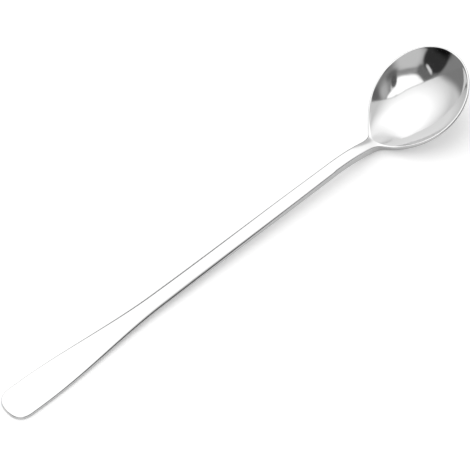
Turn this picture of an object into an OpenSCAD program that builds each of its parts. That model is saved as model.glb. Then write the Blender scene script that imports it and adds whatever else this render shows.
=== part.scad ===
// Iced tea spoon with a long handle, pressed from one blank of stainless steel.
// The blank is drawn in five zones that meet face to face: handle end, handle, shank, neck
// and bowl.
// X runs along the spoon towards the bowl, Z is up, and the spoon lies on the plane Z = 0.
// It touches that plane under the handle's end, which is flat, and under the bowl's belly.
// Sections across the blank are joined into solids. Each section is a plane with a foot
// point, a pitch and a half width, and its points lie at heights over the foot point.

/* [Handle] */
// Distance along X from the rounded end to the bend above the bowl
handle_l = 145; // [120:0.5:175]
// Greatest width of the handle, near its rounded end
handle_w = 12; // [9:0.1:14]
// Thickness of the blank at the rounded end
handle_t = 1.4; // [1:0.1:2]
// Length of the rounded end, from its tip to the full width
round_l = 6; // [4:0.5:9]
// Distance from the tip at which the handle is widest
widest_l = 10; // [8:1:20]
// Distance from the tip at which the handle has narrowed to the shank
flare_l = 62; // [45:1:75]
// Length at the end that lies flat on the table
rest_l = 16; // [10:1:22]
// Length over which the handle then lifts from the table
lift_l = 20; // [10:1:22]
// Height of the crowned top face over its edges
crown_h = 0.2; // [0:0.05:0.4]

/* [Shank] */
// Width of the shank where the handle's flare ends
shank_w = 5.8; // [4.6:0.1:6.6]
// Width of the shank at the neck, its narrowest place
neck_w = 4.1; // [3.2:0.1:4.4]
// Thickness of the blank at the neck
neck_t = 3.3; // [2.6:0.1:3.5]

/* [Neck] */
// Angle by which the neck turns down from the line of the shank
neck_a = 17; // [13:0.5:22]
// Length of the sloping neck, from its bend to the plane of the rim
neck_l = 13.8; // [11:0.1:16]
// Height over which the bend above the neck is rounded
bend_k = 3.4; // [2:0.2:4.4]
// Height over which the neck runs out into the rim
heel_k = 2.4; // [1:0.2:3]
// Width by which each shoulder flares out from the neck, up to the bowl's outline
shoulder_w = 4; // [2.4:0.2:5]

/* [Bowl] */
// Width of the bowl over its rim
bowl_w = 32; // [26:0.5:36]
// Length of the bowl in front of its widest place
front_l = 18.2; // [16:0.2:22]
// Length of the bowl behind its widest place
rear_l = 22.2; // [19:0.2:25]
// Depth of the bowl inside, below the plane of the rim
bowl_d = 7; // [5.6:0.2:8]
// Distance behind the widest place at which the bowl is deepest
deep_l = 5; // [0:0.5:6]
// Angle between the line of the shank and the plane of the rim
bowl_a = 25.2; // [18:0.2:28]
// Length by which the shoulders start behind the foot of the neck
lap_l = 2.6; // [2:0.2:4]
// Width of the flat rim
rim_w = 0.5; // [0.4:0.1:1.2]
// Thickness of the blank at the rim
rim_t = 1; // [0.8:0.1:1.4]
// Thickness of the blank at the bottom of the bowl
wall_t = 1.2; // [0.9:0.1:1.6]
// Radius of the polished edge round the neck and bowl
edge_r = 0.36; // [0.2:0.02:0.4]
// Radius of the handle's rounded edge as a share of the thickness of its sides
edge_share = 0.44; // [0.2:0.01:0.46]

/* [Hidden] */

// Counts of steps across a section, odd so that a narrow strip runs along its middle, and
// along each zone
across_n = 25;
round_n = 9;
flat_n = 4;
taper_n = 14;
shank_n = 5;
turn_n = 6;
neck_n = 12;
rear_n = 20;
front_n = 20;

// Powers that shape the outlines: the square round end, the pointed rear half of the bowl,
// the flare of the shoulders, and how soon the bowl's edge thins past the neck
end_power = 2.5;
heel_power = 0.72;
flare_power = 2.2;
shoulder_power = 1.6;
// Fullness of the bowl along and across: at 0 its sections are parabolas
full_share = 0.15;

// Angle before the rounded end and the tip of the bowl at which a small face closes them
tip_a = 3;

// Length over which the sections lean over from square to the shank to square to the rim
turn_l = 14;
// Distance past the rear end of the bowl's outline at which the neck ends
shoulder_l = 1.2;
// Distance behind that end at which the shoulders start to flare, the length of their
// flare, and the width over which they run into the outline
before_l = 2.5;
shoulder_run = 6;
shoulder_k = 1.6;
// Length over which the dish passes from its short rear slope into its long front slope
cross_l = 14;
// Heights over which the inside of the bowl runs out into the flat rim, and the outside
// into the thicker edges behind the bowl
rim_k = 0.3;
edge_k = 1.2;
// Step for slopes, and the least width that is divided by
small = 0.01;

// Smaller and larger of two values, rounded over a height k where they cross
function soft_min(a, b, k) = min(a, b) - pow(max(k - abs(a - b), 0), 2) / (4 * k);
function soft_max(a, b, k) = -soft_min(-a, -b, k);
function mix(a, b, share) = a + (b - a) * share;
function ease(share) = let (s = min(max(share, 0), 1)) s * s * (3 - 2 * s);

// The line frame: its origin is where the straight underside of the shank, carried on,
// would meet the table, its first axis runs along that underside, its second is up
lift_x = rest_l + lift_l / 2;
bend_x = handle_l - lift_x;
thicken = (neck_t - handle_t) / handle_l;
function blank_t(x) = handle_t + thicken * x;

// Directions in the line frame
function along(a) = [cos(a), sin(a)];
function upward(a) = [-sin(a), cos(a)];

// Corner of the bend and foot of the neck, on the top face, and the bowl's widest place
bend_at = [bend_x, neck_t];
foot_at = bend_at + neck_l * along(-neck_a);
foot_v = lap_l - rear_l;
function rim_at(v) = foot_at + (v - foot_v) * along(bowl_a);

// Half widths of the handle and shank, at a distance x from the tip
function end_share(x) =
    x >= round_l ? 1 : pow(1 - pow(1 - max(x, 0) / round_l, end_power), 1 / end_power);
function shank_half(x) = mix(shank_w, neck_w, min(max((x - flare_l) / (handle_l - flare_l), 0), 1)) / 2;
function handle_half(x) =
    end_share(x) * mix(handle_w / 2, shank_half(x), ease((x - widest_l) / (flare_l - widest_l)));

// Half width of an egg outline, at a distance v in front of its widest place
function egg_half(v, half, front, rear) =
    half * (v > 0 ? sqrt(max(1 - pow(v / front, 2), 0)) : pow(max(1 - pow(v / rear, 2), 0), heel_power));
function bowl_half(v) =
    let (egg = egg_half(v, bowl_w / 2, front_l, rear_l))
    let (out = min(max((v + rear_l + before_l) / shoulder_run, 0), 1))
    v > 0 ? egg : soft_max(neck_w / 2 + shoulder_w * pow(out, flare_power), egg, shoulder_k);

// Depth of a dish of that outline, below its own edge. The short slope behind the deepest
// place passes into the long one over a length, so that the polished face has no crease.
function fullness(share) = 1 - mix(pow(share, 2), pow(share, 4), full_share);
function dish(v, y, depth, half, front, rear) =
    let (w = egg_half(v, half, front, rear))
    let (past = v + deep_l)
    let (reach = mix(rear - deep_l, front + deep_l, ease(1 / 2 + past / cross_l)))
    w < small ? 0 : depth * fullness(min(abs(past) / reach, 1)) * fullness(min(abs(y) / w, 1.2));

// Heights over the plane of the rim, square to it: the top and bottom faces of the shank
// carried on, the neck's slope, and the inside and outside of the bowl
lean_a = bowl_a + neck_a;
function shank_top(v) =
    let (p = rim_at(v))
    (neck_t + thicken * (p[0] - bend_x) - p[1]) / (cos(bowl_a) + thicken * sin(bowl_a));
function shank_bottom(v) = -rim_at(v)[1] / cos(bowl_a);
function slope_top(v) = (foot_v - v) * tan(lean_a);
function slope_bottom(v) = slope_top(v) - neck_t / cos(lean_a);
function inside(v, y) =
    -soft_max(dish(v, y, bowl_d, bowl_w / 2 - rim_w, front_l - rim_w, rear_l - rim_w), 0, rim_k);
function edge_t(v) = mix(rim_t, neck_t, v > 0 ? 0 : pow(min(-v / rear_l, 1), shoulder_power));
function outside(v, y) =
    soft_min(-edge_t(v), -rim_t - dish(v, y, bowl_d + wall_t - rim_t, bowl_w / 2, front_l, rear_l), edge_k);
function crown(y, w) = crown_h * (1 - pow(y / w, 2));
function bowl_top(v, y, w) =
    soft_max(soft_min(shank_top(v), slope_top(v), bend_k) + crown(y, w), inside(v, y), heel_k);
function bowl_bottom(v, y) =
    soft_max(soft_min(shank_bottom(v), slope_bottom(v), bend_k), outside(v, y), heel_k);

// Places of the sections along the neck and the bowl, closer together where its outline turns
neck_v = foot_v - neck_l * cos(lean_a) - bend_k / (tan(lean_a) - tan(bowl_a));
rear_a = asin(1 - shoulder_l / rear_l);
function neck_vs() = [for (i = [0:neck_n]) mix(neck_v, shoulder_l - rear_l, i / neck_n)];
function rear_vs() = [for (i = [0:rear_n - 1]) -rear_l * sin(rear_a * (1 - i / rear_n))];
function front_vs() = [for (i = [0:front_n]) front_l * sin((90 - tip_a / 2) * i / front_n)];

// Lift of the shank's line, so that the lowest place under the bowl just reaches the table.
// The lowest points of a section lie at the sides of its middle strip.
keel_share = sin(90 / across_n);
belly = [for (v = concat(neck_vs(), rear_vs(), front_vs()))
    rim_at(v) + bowl_bottom(v, bowl_half(v) * keel_share) * upward(bowl_a)];
lift_a = max([for (p = belly) atan2(-p[1], p[0])]);

// A point of the line frame in the frame of the table
function on_table(p) = [lift_x + p[0] * cos(lift_a) - p[1] * sin(lift_a),
                        p[0] * sin(lift_a) + p[1] * cos(lift_a)];

// Underside of the handle over the table, at a distance x from the tip, and its slope
function under(x) =
    x < rest_l ? 0
    : x < rest_l + lift_l ? tan(lift_a) * pow(x - rest_l, 2) / (2 * lift_l)
    : tan(lift_a) * (x - lift_x);
function under_a(x) = lift_a * min(max((x - rest_l) / lift_l, 0), 1);

// Places of the sections along the handle and shank
neck_at = rim_at(neck_v) + shank_bottom(neck_v) * upward(bowl_a);
turn_x = neck_at[0] + lift_x - turn_l;
function round_xs() = [for (i = [0:round_n]) round_l * (1 - cos(mix(tip_a, 90, i / round_n)))];
function flat_xs() = [for (i = [1:flat_n]) mix(round_l, rest_l, i / flat_n)];
function taper_xs() = [for (i = [0:taper_n]) mix(rest_l, flare_l, i / taper_n)];
function shank_xs() = [for (i = [0:shank_n]) mix(flare_l, turn_x, i / shank_n)];
function turn_xs() = [for (i = [1:turn_n - 1]) turn_x + turn_l * i / turn_n];

// Distance from a point at y to the outline, and the drop of the polished edge there.
// ww is the half width times its slope along the spoon.
function edge_gap(w, ww, y) = (w * w - y * y) / (2 * sqrt(y * y + ww * ww) + small * small);
function edge_drop(gap, r) = gap >= r ? 0 : r - sqrt(r * r - pow(r - gap, 2));
// Radius of that edge on the handle and shank, where it grows tighter towards the neck
function handle_edge(x) =
    mix(edge_share * (blank_t(x) - crown_h), edge_r, ease((x - flare_l) / (turn_x - flare_l)));

// Points of one section: over the top face from one side to the other, and back below.
// at and a are the section's foot point and pitch over the table, r its edges' radius.
function ring(at, a, w, ww, r, tops, bottoms, ys) = [
    for (i = [0:across_n])
        let (h = tops[i] - edge_drop(edge_gap(w, ww, ys[i]), r), p = at + h * upward(a))
        [p[0], ys[i], p[1]],
    for (i = [across_n:-1:0])
        let (h = bottoms[i] + edge_drop(edge_gap(w, ww, ys[i]), r), p = at + h * upward(a))
        [p[0], ys[i], p[1]]
];
function across(w) = [for (i = [0:across_n]) w * sin(mix(-90, 90, i / across_n))];

// Section of the handle or shank at a distance x from the tip, leaning by an angle over
// the shank's own square section
function handle_ring(x, lean = 0) =
    let (w = handle_half(x), ys = across(w))
    let (ww = (pow(handle_half(x + small), 2) - pow(handle_half(x - small), 2)) / (4 * small))
    let (t = blank_t(x) / (cos(lean) + thicken * sin(lean)))
    ring([x, under(x)], under_a(x) + lean, w, ww, handle_edge(x),
         [for (y = ys) t - crown_h + crown(y, w)], [for (y = ys) 0], ys);

// Section of the neck or bowl at a distance v in front of the bowl's widest place
function bowl_ring(v) =
    let (w = bowl_half(v), ys = across(w))
    let (ww = (pow(bowl_half(v + small), 2) - pow(bowl_half(v - small), 2)) / (4 * small))
    ring(on_table(rim_at(v)), lift_a + bowl_a, w, ww, edge_r,
         [for (y = ys) bowl_top(v, y, w)], [for (y = ys) bowl_bottom(v, y)], ys);

end_rings = [for (x = concat(round_xs(), flat_xs())) handle_ring(x)];
handle_rings = [for (x = taper_xs()) handle_ring(x)];
neck_rings = [for (v = neck_vs()) bowl_ring(v)];
shank_rings = concat(
    [for (x = shank_xs()) handle_ring(x)],
    [for (x = turn_xs()) handle_ring(x, bowl_a * ease((x - turn_x) / turn_l))],
    [neck_rings[0]]);
bowl_rings = [for (v = concat(rear_vs(), front_vs())) bowl_ring(v)];

// The spoon's middle along X, from its farthest points
tip_x = min([for (p = end_rings[0]) p[0]]);
far_x = max([for (r = bowl_rings) for (p = r) p[0]]);
mid_x = (tip_x + far_x) / 2;

// Solid through a row of rings that have the same number of points
module blank(rings) {
    n = len(rings[0]);
    last = len(rings) - 1;
    sides = [for (i = [0:last - 1]) for (j = [0:n - 1])
        [i * n + j, i * n + (j + 1) % n, (i + 1) * n + (j + 1) % n, (i + 1) * n + j]];
    first_face = [for (j = [0:across_n - 1]) [j + 1, j, n - 1 - j, n - 2 - j]];
    last_face = [for (j = [0:across_n - 1])
        [last * n + j, last * n + j + 1, last * n + n - 2 - j, last * n + n - 1 - j]];
    translate([-mid_x, 0, 0])
        polyhedron([for (r = rings) each r], concat(sides, first_face, last_face));
}

// Rounded end of the handle, which lies flat on the table
module handle_end() {
    color([0.84, 0.85, 0.86])
        blank(end_rings);
}

// Flare of the handle, which narrows and lifts from the table
module handle() {
    color([0.80, 0.81, 0.82])
        blank(handle_rings);
}

// Slim bar that thickens towards the bowl
module shank() {
    color([0.76, 0.77, 0.78])
        blank(shank_rings);
}

// Bend and slope down from the shank to the bowl
module neck() {
    color([0.72, 0.73, 0.74])
        blank(neck_rings);
}

// Egg-shaped bowl with a flat rim
module bowl() {
    color([0.82, 0.83, 0.84])
        blank(bowl_rings);
}

handle_end();
handle();
shank();
neck();
bowl();
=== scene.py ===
# Iced tea spoon: one seamless polished spoon over the solid model's five zones,
# on a white table, in soft studio light, seen from the photograph's side
import math
from types import SimpleNamespace
import bpy
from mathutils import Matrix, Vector


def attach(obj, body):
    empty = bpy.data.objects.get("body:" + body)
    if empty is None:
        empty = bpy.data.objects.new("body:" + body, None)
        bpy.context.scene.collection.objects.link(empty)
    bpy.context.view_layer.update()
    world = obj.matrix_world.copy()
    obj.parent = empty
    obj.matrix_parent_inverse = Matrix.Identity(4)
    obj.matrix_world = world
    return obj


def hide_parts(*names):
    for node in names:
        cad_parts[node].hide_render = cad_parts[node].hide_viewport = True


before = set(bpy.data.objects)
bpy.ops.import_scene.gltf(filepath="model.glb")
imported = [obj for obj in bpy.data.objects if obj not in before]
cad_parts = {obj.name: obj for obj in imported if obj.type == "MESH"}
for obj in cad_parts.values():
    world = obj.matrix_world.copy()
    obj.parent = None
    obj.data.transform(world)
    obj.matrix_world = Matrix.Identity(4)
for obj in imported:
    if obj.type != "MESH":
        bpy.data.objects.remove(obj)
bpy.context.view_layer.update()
mm = 0.001
print("solid model loaded")


# Wraps a socket, so that an expression on values adds its Math nodes
class Term:
    def __init__(self, graph, socket):
        self.graph = graph
        self.socket = socket

    def math(self, operation, *others):
        return self.graph.math(operation, self, *others)

    def other(self, output):
        return Term(self.graph, self.socket.node.outputs[output])

    def clamped(self):
        return self.math("MAXIMUM", 0).math("MINIMUM", 1)

    def __add__(self, other):
        return self.math("ADD", other)

    def __sub__(self, other):
        return self.math("SUBTRACT", other)

    def __rsub__(self, other):
        return self.graph.math("SUBTRACT", other, self)

    def __mul__(self, other):
        return self.math("MULTIPLY", other)

    def __truediv__(self, other):
        return self.math("DIVIDE", other)

    def __rtruediv__(self, other):
        return self.graph.math("DIVIDE", other, self)

    def __pow__(self, other):
        return self.math("POWER", other)

    def __neg__(self):
        return self * -1

    __radd__ = __add__
    __rmul__ = __mul__


# Adds nodes of any kind to one tree
class Graph:
    def __init__(self, tree):
        self.tree = tree

    # A node's settings are set first, then the values or links of its sockets
    def node(self, kind, settings=None, sockets=None, output=0):
        node = self.tree.nodes.new(kind)
        for name, value in (settings or {}).items():
            setattr(node, name, value)
        for key, value in (sockets or {}).items():
            if isinstance(value, Term):
                self.tree.links.new(value.socket, node.inputs[key])
            else:
                node.inputs[key].default_value = value
        return Term(self, node.outputs[output]) if node.outputs else None

    def math(self, operation, *values):
        return self.node("ShaderNodeMath", {"operation": operation}, dict(enumerate(values)))

    def dot(self, vector, fixed):
        return self.node("ShaderNodeVectorMath", {"operation": "DOT_PRODUCT"},
                         {0: vector, 1: fixed}, output="Value")


# The value that lies a share of the way from a to b
def mixOf(a, b, share):
    return (b - a) * share + a


# Rises smoothly from 0 to 1 with the share
def ease(share):
    share = share.clamped()
    return share * share * (3 - share * 2)


# Falls smoothly from 1 to 0 as a value goes from one bound to the other
def fading(graph, value, start, end):
    return graph.node("ShaderNodeMapRange", {"interpolation_type": "SMOOTHSTEP"},
                      {"Value": value, "From Min": start, "From Max": end, "To Min": 1.0, "To Max": 0.0})


# An empty node tree for a material or the world
def clearedGraph(owner):
    owner.use_nodes = True
    owner.node_tree.nodes.clear()
    return Graph(owner.node_tree)


def addObject(name, data):
    added = bpy.data.objects.new(name, data)
    bpy.context.collection.objects.link(added)
    return added


def greyColour(level):
    return (level, level, level, 1)


# Camera, with its aim on the table and its distance in metres, and angles in degrees
camera = {
    "aim": (0.92 * mm, 4.0 * mm, 0),
    "distance": 0.7,
    "azimuth": -41.55,
    "elevation": 54.07,
    "focalPixels": 2155.4,
    "framePixels": 470,
    "sensor": 36,
}


def directionTo(azimuth, elevation):
    turn, rise = math.radians(azimuth), math.radians(elevation)
    return Vector((math.sin(turn) * math.cos(rise), -math.cos(turn) * math.cos(rise), math.sin(rise)))


def addCamera():
    data = bpy.data.cameras.new("camera")
    data.sensor_width = camera["sensor"]
    data.lens = camera["sensor"] * camera["focalPixels"] / camera["framePixels"]
    data.clip_start = 10 * mm
    eye = addObject("camera", data)
    back = directionTo(camera["azimuth"], camera["elevation"])
    eye.location = Vector(camera["aim"]) + back * camera["distance"]
    eye.rotation_euler = (-back).to_track_quat("-Z", "Y").to_euler()
    bpy.context.scene.camera = eye


addCamera()
print("camera placed")

# Sizes of the spoon, the same as the solid model's. Only the polish of the edges differs: two
# factors change how far in it reaches, and it has a slightly larger radius on the rim.
spoon = {
    "handleLength": 145 * mm,  # from the tip to the bend of the neck
    "handleWidth": 12 * mm,
    "handleThickness": 1.4 * mm,
    "roundLength": 6 * mm,  # the rounded tip
    "endPower": 2.5,  # 2 for a plain ellipse, more for a squarer tip
    "widestLength": 10 * mm,  # where the handle starts to narrow
    "flareLength": 62 * mm,  # where it has narrowed to the shank
    "restLength": 16 * mm,  # what lies flat on the table
    "liftLength": 20 * mm,  # what bends up from it
    "crownHeight": 0.2 * mm,
    "shankWidth": 5.8 * mm,
    "neckWidth": 4.1 * mm,
    "neckThickness": 3.3 * mm,
    "neckAngle": math.radians(17),
    "neckLength": 13.8 * mm,
    "bendHeight": 3.4 * mm,
    "heelHeight": 2.4 * mm,
    "turnLength": 14 * mm,  # over which the sections lean over to the bowl's
    "shoulderFlare": 4 * mm,
    "shoulderBefore": 2.5 * mm,
    "shoulderReach": 6 * mm,
    "shoulderHeight": 1.6 * mm,
    "shoulderLength": 1.2 * mm,
    "flarePower": 2.2,
    "shoulderPower": 1.6,
    "bowlWidth": 32 * mm,
    "frontLength": 18.2 * mm,  # from the widest place to the bowl's tip
    "rearLength": 22.2 * mm,  # and to its heel
    "heelPower": 0.72,
    "bowlDepth": 7 * mm,
    "deepLength": 5 * mm,  # from the widest place back to the deepest
    "crossLength": 14 * mm,
    "fullShare": 0.15,
    "bowlAngle": math.radians(25.2),
    "lapLength": 2.6 * mm,  # how far the neck's foot lies inside the heel
    "wallThickness": 1.2 * mm,
    "rimWidth": 0.5 * mm,
    "rimThickness": 1 * mm,
    "rimHeight": 0.3 * mm,
    "edgeHeight": 1.2 * mm,
    "edgeRadius": 0.36 * mm,
    "rimRadius": 0.48 * mm,
    "edgeShare": 0.44,  # the radius along the handle, as a share of the side's thickness
    "endReach": 0.7,
    "shankReach": 2,
    "reachPower": 4,
}
# Steps across each face, and rows of points along each zone
spoonMesh = {
    "across": 72,
    "rows": {"end": 18, "taper": 76, "turn": 14, "neck": 44, "rear": 48, "front": 60},
    "tipAngle": math.radians(0.6),
    "slopeStep": 0.04 * mm,
    "dishLimit": 1.2,  # how far past the rim the dish is worked out, in half widths
    "tiny": 0.001 * mm,
}


# The loft of the spoon as a Geometry Nodes tree: a tube of rows and columns of points, whose
# sections are moved to their places along the handle, the neck and the bowl
def spoonTree(steel):
    tree = bpy.data.node_groups.new("spoonLoft", "GeometryNodeTree")
    for name in spoon:
        tree.interface.new_socket(name, in_out="INPUT", socket_type="NodeSocketFloat")
    tree.interface.new_socket("Spoon", in_out="OUTPUT", socket_type="NodeSocketGeometry")
    graph = Graph(tree)
    sizeNode = tree.nodes.new("NodeGroupInput")
    size = SimpleNamespace(**{name: Term(graph, sizeNode.outputs[name]) for name in spoon})

    # A soft least or most is rounded over a height where its two values cross
    softShare = 1.5

    def softLeast(a, b, height):
        return graph.math("SMOOTH_MIN", a, b, height * softShare)

    def softMost(a, b, height):
        return graph.math("SMOOTH_MAX", a, b, height * softShare)

    def cosine(angle):
        return angle.math("COSINE")

    def sine(angle):
        return angle.math("SINE")

    def tangent(angle):
        return sine(angle) / cosine(angle)

    # Row along the spoon and column round the section
    across = spoonMesh["across"]
    around = 2 * (across + 1)
    index = graph.node("GeometryNodeInputIndex")
    row = ((index + 0.5) / around).math("FLOOR")
    column = index - row * around
    onTop = column.math("LESS_THAN", across + 0.5)
    step = column.math("MINIMUM", around - 1 - column)
    angle = step * (math.pi / across)
    overEdge = sine(angle)
    share = SimpleNamespace()
    firstRow = {}
    rows = 0
    for name, count in spoonMesh["rows"].items():
        firstRow[name] = rows
        setattr(share, name, ((row - rows) / count).clamped())
        rows += count
    inBowl = row.math("GREATER_THAN", firstRow["neck"] - 0.5)

    # Line of the shank's underside and the plane of the rim, which hangs from it by the neck
    liftX = size.restLength + size.liftLength / 2
    bendX = size.handleLength - liftX
    thicken = (size.neckThickness - size.handleThickness) / size.handleLength
    footX = bendX + size.neckLength * cosine(size.neckAngle)
    footZ = size.neckThickness - size.neckLength * sine(size.neckAngle)
    footV = size.lapLength - size.rearLength
    bowlSlope = tangent(size.bowlAngle)
    leanSlope = tangent(size.bowlAngle + size.neckAngle)
    leanCosine = cosine(size.bowlAngle + size.neckAngle)
    neckV = footV - size.neckLength * leanCosine - size.bendHeight / (leanSlope - bowlSlope)
    rimStartX = footX + (neckV - footV) * cosine(size.bowlAngle)
    rimStartZ = footZ + (neckV - footV) * sine(size.bowlAngle)
    bottomStart = -rimStartZ / cosine(size.bowlAngle)
    turnX = rimStartX - bottomStart * sine(size.bowlAngle) + liftX - size.turnLength

    # Places of the rows: x on the handle and shank, v on the neck and bowl
    tipAngle = spoonMesh["tipAngle"]
    endTurn = share.end * (math.pi / 2 - tipAngle) + tipAngle
    x = size.roundLength * (1 - cosine(endTurn))
    x = x + (turnX - size.roundLength) * share.taper + size.turnLength * share.turn
    lean = size.bowlAngle * ease(share.turn)
    rearTurn = (1 - size.shoulderLength / size.rearLength).math("ARCSINE")
    v = neckV + (size.shoulderLength - size.rearLength - neckV) * sine(share.neck * (math.pi / 2))
    v = v + size.rearLength * (sine(rearTurn) - sine(rearTurn * (1 - share.rear)))
    v = v + size.frontLength * sine(share.front * (math.pi / 2 - tipAngle))

    # Half widths; the egg's front is half an ellipse
    def handleHalf(x):
        inner = 1 - (x / size.roundLength).clamped()
        endShare = (1 - inner ** size.endPower) ** (1 / size.endPower)
        narrowing = ((x - size.flareLength) / (size.handleLength - size.flareLength)).clamped()
        shank = mixOf(size.shankWidth, size.neckWidth, narrowing)
        flare = ease((x - size.widestLength) / (size.flareLength - size.widestLength))
        return endShare * mixOf(size.handleWidth, shank, flare) / 2

    def eggHalf(v, half, front, rear):
        inFront = v.math("GREATER_THAN", 0)
        reach = mixOf(rear, front, inFront)
        power = mixOf(size.heelPower, 0.5, inFront)
        return half * (1 - (v / reach) ** 2).math("MAXIMUM", 0) ** power

    def bowlHalf(v):
        egg = eggHalf(v, size.bowlWidth / 2, size.frontLength, size.rearLength)
        out = ((v + size.rearLength + size.shoulderBefore) / size.shoulderReach).clamped()
        flared = size.neckWidth / 2 + size.shoulderFlare * out ** size.flarePower
        shoulders = softMost(flared, egg, size.shoulderHeight)
        return mixOf(shoulders, egg, v.math("GREATER_THAN", 0))

    # Half width times its slope along the spoon
    def halfSlope(halfAt, place):
        near = spoonMesh["slopeStep"]
        return (halfAt(place + near) ** 2 - halfAt(place - near) ** 2) / (4 * near)

    half = mixOf(handleHalf(x), bowlHalf(v), inBowl)
    slope = mixOf(halfSlope(handleHalf, x), halfSlope(bowlHalf, v), inBowl)
    y = -half * cosine(angle)

    # Drop of the polished edge, by the distance from the outline
    reachIn = (half * overEdge) ** 2
    gap = reachIn / ((y * y + slope * slope).math("SQRT") * 2 + spoonMesh["tiny"] * mm)
    towardsNeck = (-v / size.rearLength).clamped() ** size.shoulderPower
    edge = mixOf(size.rimThickness, size.neckThickness, towardsNeck)
    tighter = ease((x - size.flareLength) / (turnX - size.flareLength))
    sides = size.handleThickness - size.crownHeight + thicken * x
    radius = mixOf(mixOf(size.edgeShare * sides, size.edgeRadius, tighter),
                   mixOf(size.rimRadius, size.edgeRadius, towardsNeck), inBowl)
    narrowed = ease((x - size.widestLength) / (size.flareLength - size.widestLength))
    reach = mixOf(mixOf(size.endReach, size.shankReach, narrowed),
                  mixOf(1, size.shankReach, towardsNeck ** size.reachPower), inBowl)
    short = (radius - gap / reach).math("MAXIMUM", 0)
    drop = radius - (radius ** 2 - short ** 2).math("MAXIMUM", 0).math("SQRT")
    crown = size.crownHeight * overEdge * overEdge

    # Heights over the plane of the rim
    def fullness(share):
        square = share * share
        return 1 - square * (1 - size.fullShare + size.fullShare * square)

    def dish(depth, half, front, rear):
        width = eggHalf(v, half, front, rear).math("MAXIMUM", spoonMesh["tiny"])
        past = v + size.deepLength
        cross = ease(past / size.crossLength + 0.5)
        reach = mixOf(rear - size.deepLength, front + size.deepLength, cross)
        lengthwise = fullness((past.math("ABSOLUTE") / reach).math("MINIMUM", 1))
        sideways = fullness((y.math("ABSOLUTE") / width).math("MINIMUM", spoonMesh["dishLimit"]))
        return depth * lengthwise * sideways

    rimX = footX + (v - footV) * cosine(size.bowlAngle)
    rimZ = footZ + (v - footV) * sine(size.bowlAngle)
    shankTop = (size.neckThickness + thicken * (rimX - bendX) - rimZ) / (
        cosine(size.bowlAngle) + thicken * sine(size.bowlAngle))
    shankBottom = -rimZ / cosine(size.bowlAngle)
    slopeTop = (footV - v) * leanSlope
    slopeBottom = slopeTop - size.neckThickness / leanCosine
    inside = -softMost(
        dish(size.bowlDepth, size.bowlWidth / 2 - size.rimWidth,
             size.frontLength - size.rimWidth, size.rearLength - size.rimWidth),
        0, size.rimHeight)
    underside = -size.rimThickness - dish(
        size.bowlDepth + size.wallThickness - size.rimThickness, size.bowlWidth / 2,
        size.frontLength, size.rearLength)
    outside = softLeast(-edge, underside, size.edgeHeight)
    bowlTop = softMost(softLeast(shankTop, slopeTop, size.bendHeight) + crown, inside, size.heelHeight)
    bowlBottom = softMost(softLeast(shankBottom, slopeBottom, size.bendHeight), outside, size.heelHeight)
    bowlHeight = mixOf(bowlBottom + drop, bowlTop - drop, onTop)

    # Bowl and neck in the line's frame, and the lift that lets the belly reach the table
    lineX = rimX - bowlHeight * sine(size.bowlAngle)
    lineZ = rimZ + bowlHeight * cosine(size.bowlAngle)
    tube = graph.node("GeometryNodeMeshCylinder", {"fill_type": "NGON"},
                      {"Vertices": around, "Side Segments": rows})
    lift = graph.node("GeometryNodeAttributeStatistic", None,
                      {"Geometry": tube, "Selection": inBowl,
                       "Attribute": (-lineZ).math("ARCTAN2", lineX)}, output="Max")
    bowlX = liftX + lineX * cosine(lift) - lineZ * sine(lift)
    bowlZ = lineX * sine(lift) + lineZ * cosine(lift)

    # Handle and shank, which lie flat at the end and then lift
    lifting = ((x - size.restLength) / size.liftLength).clamped()
    past = (x - size.restLength - size.liftLength).math("MAXIMUM", 0)
    under = tangent(lift) * (lifting * lifting * size.liftLength / 2 + past)
    pitch = lift * lifting + lean
    thickness = (size.handleThickness + thicken * x) / (cosine(lean) + thicken * sine(lean))
    handleHeight = mixOf(drop, thickness - size.crownHeight + crown - drop, onTop)
    handleX = x - handleHeight * sine(pitch)
    handleZ = under + handleHeight * cosine(pitch)

    place = graph.node("ShaderNodeCombineXYZ", None,
                       {0: mixOf(handleX, bowlX, inBowl), 1: y, 2: mixOf(handleZ, bowlZ, inBowl)})
    shaped = graph.node("GeometryNodeSetPosition", None, {"Geometry": tube, "Position": place})
    box = graph.node("GeometryNodeBoundBox", None, {"Geometry": shaped})
    lowX = graph.node("ShaderNodeSeparateXYZ", None, {0: box.other("Min")})
    highX = graph.node("ShaderNodeSeparateXYZ", None, {0: box.other("Max")})
    toMiddle = graph.node("ShaderNodeCombineXYZ", None, {0: (lowX + highX) / -2})
    centred = graph.node("GeometryNodeSetPosition", None, {"Geometry": shaped, "Offset": toMiddle})
    smooth = graph.node("GeometryNodeSetShadeSmooth", None, {"Geometry": centred})
    whole = graph.node("GeometryNodeRealizeInstances", None, {"Geometry": smooth})
    coated = graph.node("GeometryNodeSetMaterial", None, {"Geometry": whole, "Material": steel})
    graph.node("NodeGroupOutput", None, {"Spoon": coated})
    return tree


# Runs a tree on an empty mesh and returns the result as a plain mesh object
def meshFrom(tree, sizes, name):
    holder = addObject(name + "Holder", bpy.data.meshes.new(name + "Holder"))
    modifier = holder.modifiers.new("loft", "NODES")
    modifier.node_group = tree
    for item in tree.interface.items_tree:
        if item.in_out == "INPUT":
            modifier[item.identifier] = sizes[item.name]
    bpy.context.view_layer.update()
    seen = holder.evaluated_get(bpy.context.evaluated_depsgraph_get())
    mesh = bpy.data.meshes.new_from_object(seen)
    mesh.name = name
    holder.modifiers.remove(modifier)
    bpy.data.objects.remove(holder)
    return addObject(name, mesh)


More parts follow.
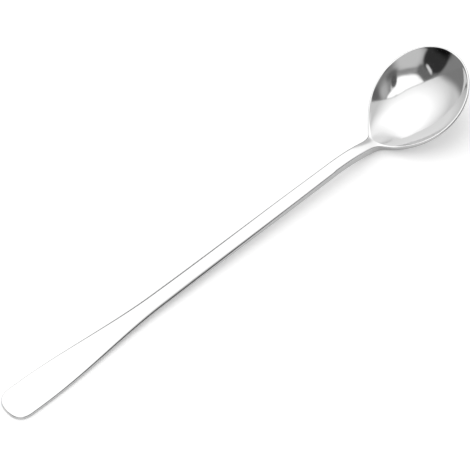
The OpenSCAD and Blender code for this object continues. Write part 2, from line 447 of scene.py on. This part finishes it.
# Bright polished stainless steel: slightly wavy everywhere, and on the stem, up to the neck,
# with faint lengthwise polish lines
steelLook = {
    "colour": 0.62,
    "stemRoughness": 0.13,
    "bowlRoughness": 0.07,
    "stemEnd": 40 * mm,
    "neckEnd": 54 * mm,
    "waveScale": 240,
    "waveDetail": 1.5,
    "waveHeight": 0.016 * mm,
    "lineScale": 1500,
    "lineDetail": 3.0,
    "lineStretch": 0.02,
    "lineHeight": 0.0008 * mm,
}


def polishedSteel():
    material = bpy.data.materials.new("polishedSteel")
    graph = clearedGraph(material)
    look = steelLook
    place = graph.node("ShaderNodeTexCoord", output="Object")
    along = graph.node("ShaderNodeSeparateXYZ", None, {0: place})
    onStem = fading(graph, along, look["stemEnd"], look["neckEnd"])
    drawn = graph.node("ShaderNodeVectorMath", {"operation": "MULTIPLY"},
                       {0: place, 1: (look["lineStretch"], 1, 1)})
    lines = graph.node("ShaderNodeTexNoise", None,
                       {"Vector": drawn, "Scale": look["lineScale"], "Detail": look["lineDetail"]})
    waves = graph.node("ShaderNodeTexNoise", None,
                       {"Vector": place, "Scale": look["waveScale"], "Detail": look["waveDetail"]})
    streaks = lines + 0.5  # about 1 on average
    roughness = mixOf(look["bowlRoughness"], look["stemRoughness"] * streaks, onStem)
    height = waves * look["waveHeight"] + lines * look["lineHeight"] * onStem
    relief = graph.node("ShaderNodeBump", None, {"Height": height, "Distance": 1.0})
    shader = graph.node("ShaderNodeBsdfPrincipled", None,
                        {"Base Color": greyColour(look["colour"]), "Metallic": 1.0,
                         "Roughness": roughness, "Normal": relief})
    graph.node("ShaderNodeOutputMaterial", None, {"Surface": shader})
    return material


steel = polishedSteel()
whole = meshFrom(spoonTree(steel), spoon, "spoon")
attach(whole, "root")
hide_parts("handle_end", "handle", "shank", "neck", "bowl")
print("spoon lofted:", len(whole.data.vertices), "points")

# The table: white, with the camera's view of it filled up to white where no shadow falls, and
# the steel's view of it by a part of that. Its edges are distances from the spoon's middle,
# along the camera's right and away from it, and the spoon mirrors what lies past the left one.
table = {"left": -0.13, "right": 2.0, "near": -2.0, "far": 2.5, "albedo": 0.9, "fill": 0.3,
         "mirroredFill": 0.1}
# A painted dark reflection on the table, outside the picture, which only the steel sees: a near black
# patch, painted for glossy rays only, that lies to the right of its left edge and on the camera's side
# of its far one
paintedDarkReflection = {"left": 0.078, "far": 0.02, "soft": 0.012, "strength": 0.04}


def addTable():
    right = directionTo(camera["azimuth"] + 90, 0)
    away = directionTo(camera["azimuth"] + 180, 0)
    corners = [right * table[x] + away * table[y] for x, y in
               (("left", "near"), ("right", "near"), ("right", "far"), ("left", "far"))]
    mesh = bpy.data.meshes.new("table")
    mesh.from_pydata(corners, [], [(0, 1, 2, 3)])
    top = addObject("table", mesh)
    material = bpy.data.materials.new("whiteTable")
    graph = clearedGraph(material)
    matte = graph.node("ShaderNodeBsdfDiffuse", None, {"Color": greyColour(table["albedo"])})
    path = graph.node("ShaderNodeLightPath", output="Is Camera Ray")
    mirrored = path.other("Is Glossy Ray")
    filled = path * table["fill"] + mirrored * table["mirroredFill"]
    glow = graph.node("ShaderNodeEmission", None, {"Strength": filled})
    lit = graph.node("ShaderNodeAddShader", None, {0: matte, 1: glow})
    # Painted dark reflection: inside this patch the table turns near black for glossy rays only, so the
    # steel mirrors a dark area there while the camera and the light see plain white table
    place = graph.node("ShaderNodeTexCoord", output="Object")
    leftOfDarkPatch = fading(graph, graph.dot(place, right), paintedDarkReflection["left"], paintedDarkReflection["left"] + paintedDarkReflection["soft"])
    nearSide = fading(graph, graph.dot(place, away), paintedDarkReflection["far"], paintedDarkReflection["far"] + paintedDarkReflection["soft"])
    inDarkPatch = (1 - leftOfDarkPatch) * nearSide
    dark = graph.node("ShaderNodeEmission", None, {"Strength": paintedDarkReflection["strength"]})
    laid = graph.node("ShaderNodeMixShader", None, {0: mirrored * inDarkPatch, 1: lit, 2: dark})
    clear = graph.node("ShaderNodeBsdfTransparent")
    fromBelow = graph.node("ShaderNodeNewGeometry", output="Backfacing")
    shown = graph.node("ShaderNodeMixShader", None, {0: fromBelow, 1: laid, 2: clear})
    graph.node("ShaderNodeOutputMaterial", None, {"Surface": shown})
    mesh.materials.append(material)


addTable()
print("table laid")

# The studio that the steel reflects. A white tent stands over the spoon, brightest round one
# direction, with its front edge and its seam over the camera; past that edge the steel sees the
# room, with the white card, the band and the dark camera. Bearings count from the camera's
# right over the far side (90) to its left (180), and elevations from the horizon, in degrees.
# Tones are as a mirror of the steel shows them on the screen, 0 to 255.
studio = {
    "ambient": 0.55,
    "glow": {"bearing": 115, "elevation": 70, "full": 37, "gone": 64, "bright": 262, "dim": 195},
    "front": {"bearing": 97, "elevation": 36, "reach": 84.4, "soft": 1.2, "seam": 1.4, "seamTone": 150},
    "roomTone": 122,
    "shapePower": 2.6,  # 2 for ellipses, more for squarer shapes
    "leastDepth": 0.02,
}
tentShapes = [
    {"bearing": 190, "elevation": 0, "across": 65, "high": 20, "turn": 26, "tone": 118, "soft": 0.25},
    {"bearing": 77, "elevation": 24, "across": 6.5, "high": 5, "tone": 185, "soft": 0.6},
    {"bearing": 106, "elevation": 4, "across": 18, "high": 14, "tone": 30, "soft": 0.4},
]
roomShapes = [
    {"bearing": 325, "elevation": 5, "across": 35, "high": 16, "tone": 50, "soft": 0.3},
    {"bearing": 345, "elevation": 29, "across": 11, "high": 11, "tone": 94, "soft": 0.7},
    {"bearing": 320, "elevation": 43, "across": 9, "high": 8, "tone": 168, "soft": 0.7},
    {"bearing": 265, "elevation": 22, "across": 22, "high": 17, "tone": 188, "soft": 0.45},
    {"bearing": 268, "elevation": 37.5, "across": 26, "high": 2.2, "tone": 135, "soft": 0.7},
    {"bearing": 262, "elevation": 52, "across": 24, "high": 10, "tone": 262, "soft": 0.2},
    {"bearing": 300, "elevation": 55, "across": 12, "high": 4.5, "tone": 262, "soft": 0.3},
    {"bearing": 296, "elevation": 35, "across": 9, "high": 3.6, "tone": 96, "soft": 0.6},
    {"bearing": 292, "elevation": 43, "across": 5, "high": 6.5, "tone": 84, "soft": 0.3},
    {"bearing": 226, "elevation": 35, "across": 15, "high": 6.5, "tone": 98, "soft": 0.25},
    {"bearing": 222, "elevation": 46, "across": 8, "high": 3.2, "tone": 255, "soft": 0.3},
    {"bearing": 221, "elevation": 14, "across": 20, "high": 18, "tone": 46, "soft": 0.15},
    {"bearing": 216, "elevation": 1, "across": 15, "high": 9, "tone": 12, "soft": 0.5},
    {"bearing": 222, "elevation": 30.3, "across": 7.6, "high": 1.6, "turn": -14, "tone": 205,
     "soft": 0.4},
]


# The strength that a mirror of the steel's colour turns into a tone on the screen
def strengthOf(tone):
    return ((tone / 255 + 0.055) / 1.055) ** 2.4 / steelLook["colour"]


# Direction from the spoon at a bearing from the camera's right and an elevation
def bearingTo(bearing, elevation):
    return directionTo(camera["azimuth"] + 90 + bearing, elevation)


# How far a direction lies inside a shape: 1 in its middle and 0 outside, with a soft edge
def shapeMask(graph, toward, shape):
    middle = bearingTo(shape["bearing"], shape["elevation"])
    up = bearingTo(shape["bearing"], shape["elevation"] + 90)
    side = up.cross(middle)
    turn = math.radians(shape.get("turn", 0))
    along = side * math.cos(turn) + up * math.sin(turn)
    rise = up * math.cos(turn) - side * math.sin(turn)
    depth = graph.dot(toward, middle).math("MAXIMUM", studio["leastDepth"])
    power = studio["shapePower"]
    reach = 0
    for axis, half in ((along, shape["across"]), (rise, shape["high"])):
        offset = graph.dot(toward, axis).math("ABSOLUTE") / depth / math.tan(math.radians(half))
        reach = offset ** power + reach
    return fading(graph, reach ** (1 / power), 1 - shape["soft"], 1 + shape["soft"])


def withShapes(graph, toward, strength, shapes):
    for shape in shapes:
        strength = mixOf(strength, strengthOf(shape["tone"]), shapeMask(graph, toward, shape))
    return strength


def addStudio():
    world = bpy.data.worlds.new("studio")
    bpy.context.scene.world = world
    world.cycles.sampling_method = "NONE"
    graph = clearedGraph(world)
    toward = graph.node("ShaderNodeTexCoord", output="Generated")
    glow = studio["glow"]
    toGlow = graph.dot(toward, bearingTo(glow["bearing"], glow["elevation"]))
    least = math.cos(math.radians(glow["gone"]))
    share = ((toGlow - least) / (math.cos(math.radians(glow["full"])) - least)).clamped()
    tent = mixOf(strengthOf(glow["dim"]), strengthOf(glow["bright"]), share)
    front = studio["front"]
    inTent = graph.dot(toward, bearingTo(front["bearing"], front["elevation"]))
    inTent = inTent - math.cos(math.radians(front["reach"]))
    seam = fading(graph, inTent.math("ABSOLUTE"), 0, math.radians(front["seam"]))
    tent = mixOf(tent, strengthOf(front["seamTone"]), seam)
    tent = withShapes(graph, toward, tent, tentShapes)
    room = withShapes(graph, toward, strengthOf(studio["roomTone"]), roomShapes)
    edge = math.radians(front["soft"])
    mirrored = mixOf(tent, room, fading(graph, inTent, -edge, edge))
    path = graph.node("ShaderNodeLightPath", output="Is Camera Ray")
    seen = mixOf(studio["ambient"], mirrored, path.other("Is Glossy Ray"))
    light = graph.node("ShaderNodeBackground", None,
                       {"Color": greyColour(1), "Strength": mixOf(seen, 1, path)})
    graph.node("ShaderNodeOutputWorld", None, {"Surface": light})


# The key lamp, high over the far left; the spoon mirrors the tent in its place
key = {"bearing": 156, "elevation": 66, "distance": 1.2, "size": 1.6, "power": 9.5}


def addKey():
    data = bpy.data.lights.new("key", "AREA")
    data.shape = "SQUARE"
    data.size = key["size"]
    data.energy = key["power"]
    lamp = addObject("key", data)
    lamp.location = bearingTo(key["bearing"], key["elevation"]) * key["distance"]
    lamp.rotation_euler = lamp.location.to_track_quat("Z", "Y").to_euler()
    lamp.visible_glossy = False


addStudio()
addKey()
bpy.context.scene.view_settings.view_transform = "Standard"
print("studio lit")
